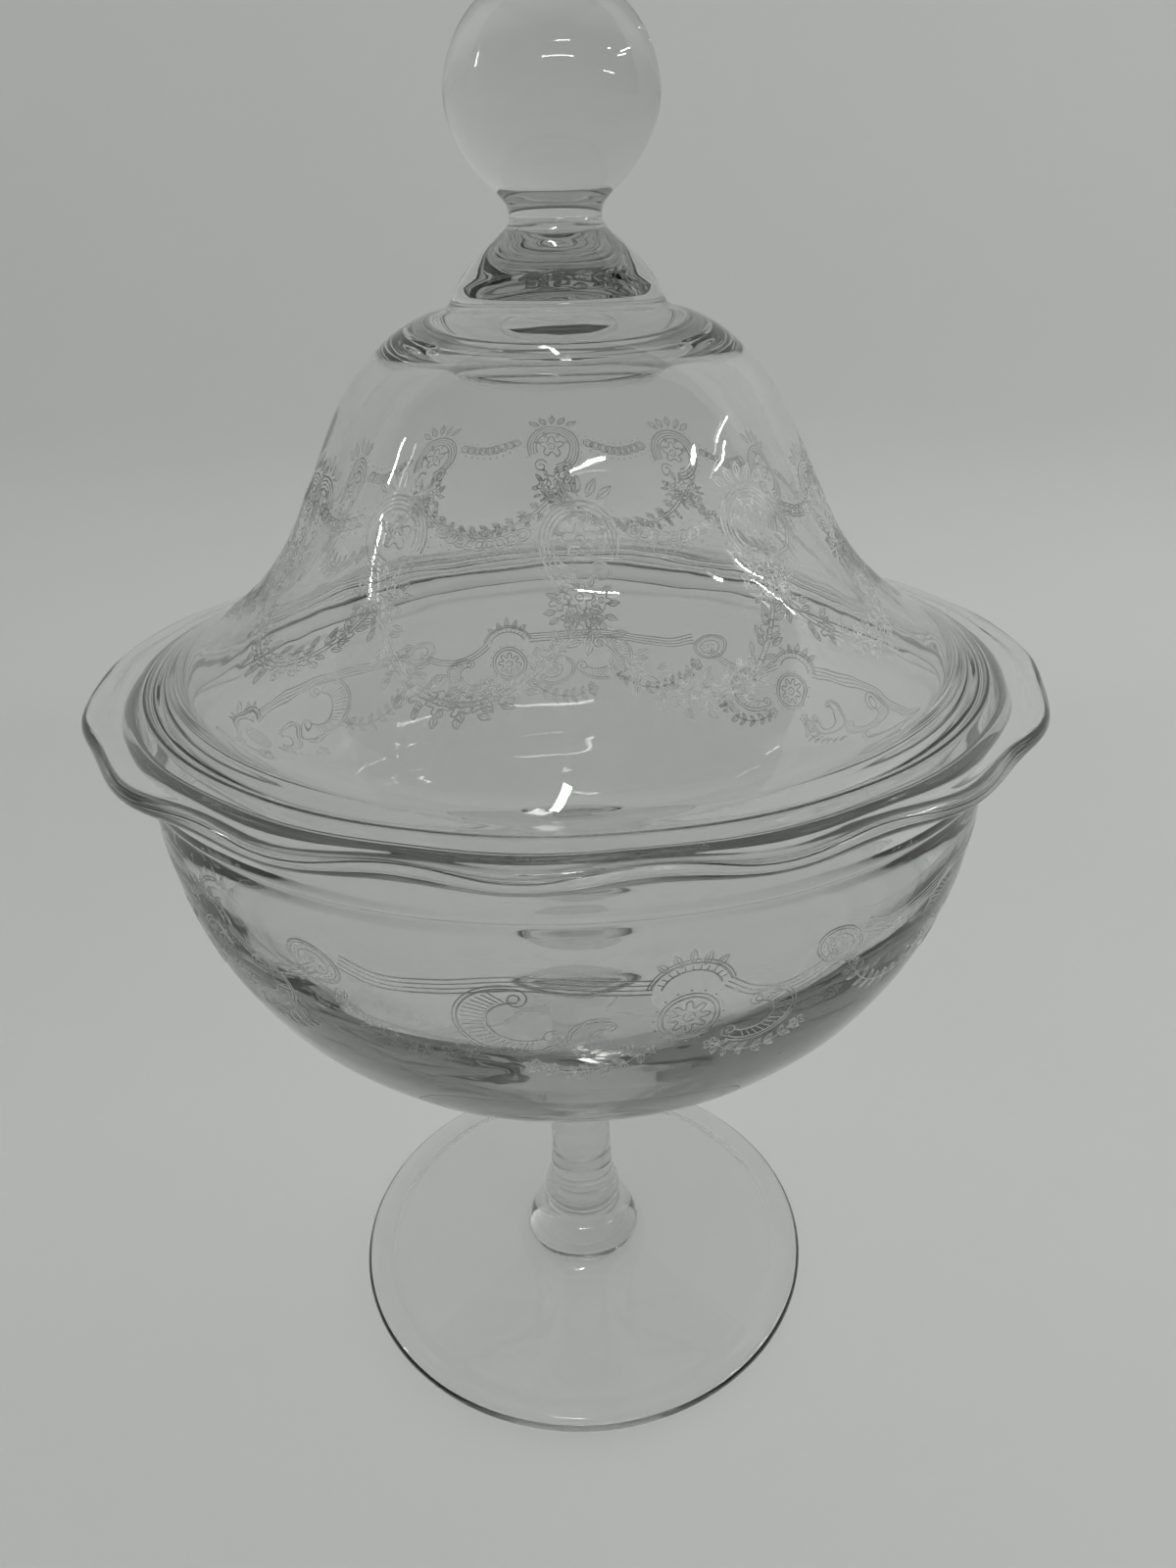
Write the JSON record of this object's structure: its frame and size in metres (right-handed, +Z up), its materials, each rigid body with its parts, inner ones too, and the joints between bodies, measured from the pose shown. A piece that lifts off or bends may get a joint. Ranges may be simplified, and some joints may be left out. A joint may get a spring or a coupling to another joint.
{
  "type": "footed candy dish with lid",
  "caption": "Footed clear-glass candy dish: a deep round bowl on a short stem and disc foot, under a bell-shaped lift-off lid with a crimped brim, a ball finial and an etched scroll band.",
  "frame": {"origin": "centre of the plane that the foot rests on", "axes": "+Z up along the axis of the stem, bowl, lid and finial"},
  "size_m": [0.1526, 0.1526, 0.23],
  "materials": {
    "clear_glass": "fire-polished clear glass, very faint grey-green",
    "lid_glass": "fire-polished clear glass, very faint grey-green",
    "etched_frost": "acid-etched satin lines on clear glass"
  },
  "bodies": {
    "dish": {"foot": "clear_glass", "stem_button": "clear_glass", "stem_knop": "clear_glass", "stem": "clear_glass", "bowl_collar": "clear_glass", "bowl": "clear_glass"},
    "lid": {"lid_bell": "lid_glass", "lid_brim": "lid_glass", "locating_ring": "lid_glass", "finial_skirt": "lid_glass", "finial_neck": "lid_glass", "finial_ball": "lid_glass"}
  },
  "joints": [
    {"name": "lid_lift", "type": "slide", "parent": "dish", "child": "lid", "axis": [0, 0, 1], "range_m": [0, 0.12]}
  ]
}
